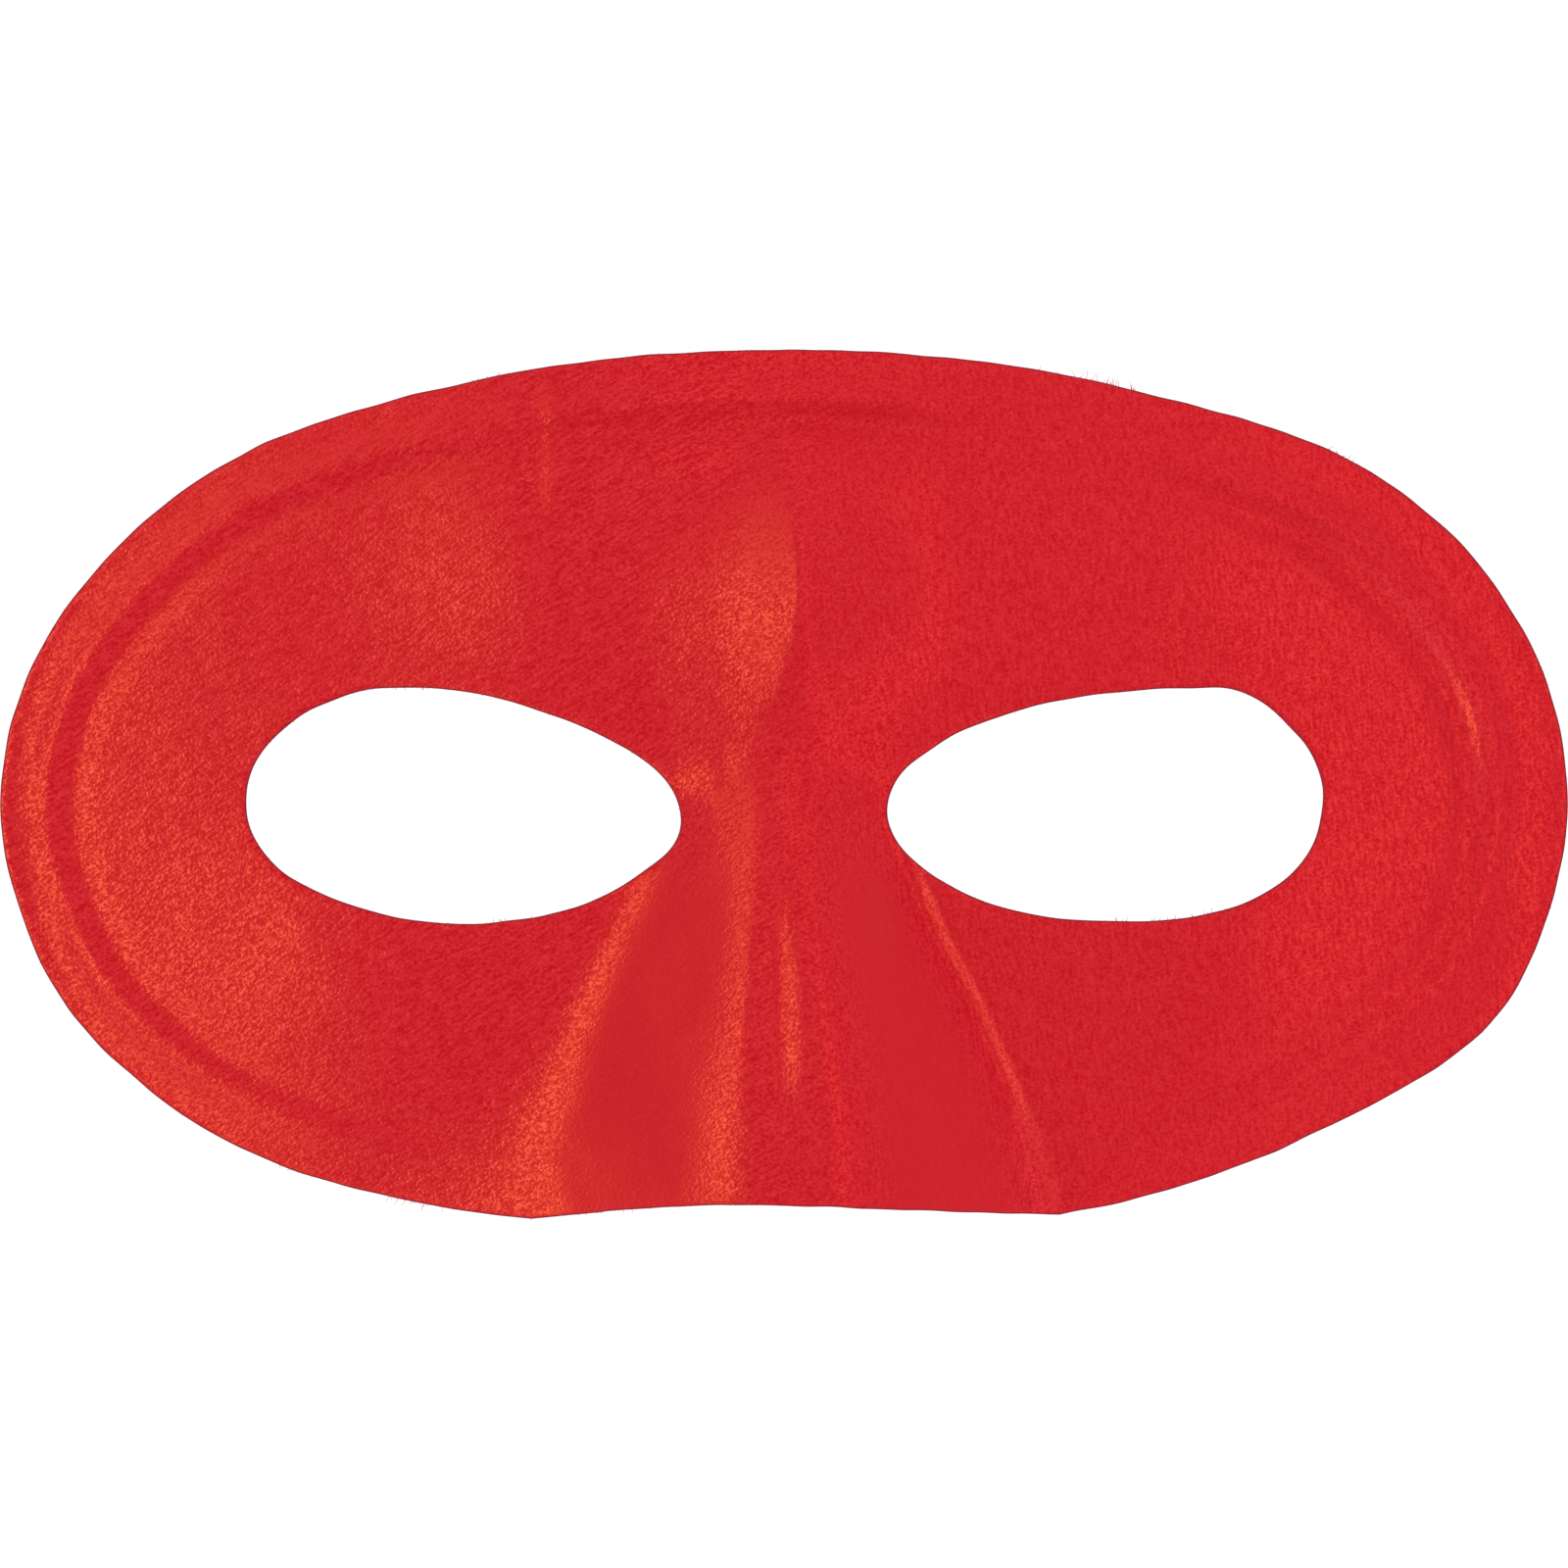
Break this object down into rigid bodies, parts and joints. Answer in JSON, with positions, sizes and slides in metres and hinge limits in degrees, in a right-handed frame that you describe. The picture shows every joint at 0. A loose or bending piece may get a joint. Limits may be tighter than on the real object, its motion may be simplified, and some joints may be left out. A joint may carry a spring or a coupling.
{
  "type": "carnival half mask",
  "caption": "Pressed half mask of red satin-faced cloth with almond eye holes, a standing nose and a grooved rim, worn over the eyes and nose.",
  "frame": {"origin": "middle of the mask's box, on the surface that its side tips rest on", "axes": "+X across the face to the viewer's right, +Y up to the forehead, +Z out of the face"},
  "size_m": [0.18, 0.0995, 0.0271],
  "materials": {
    "red_satin": "satin weave face, dull back, raw cut edge"
  },
  "bodies": {
    "root": {"mask_shell": "red_satin"}
  },
  "joints": []
}
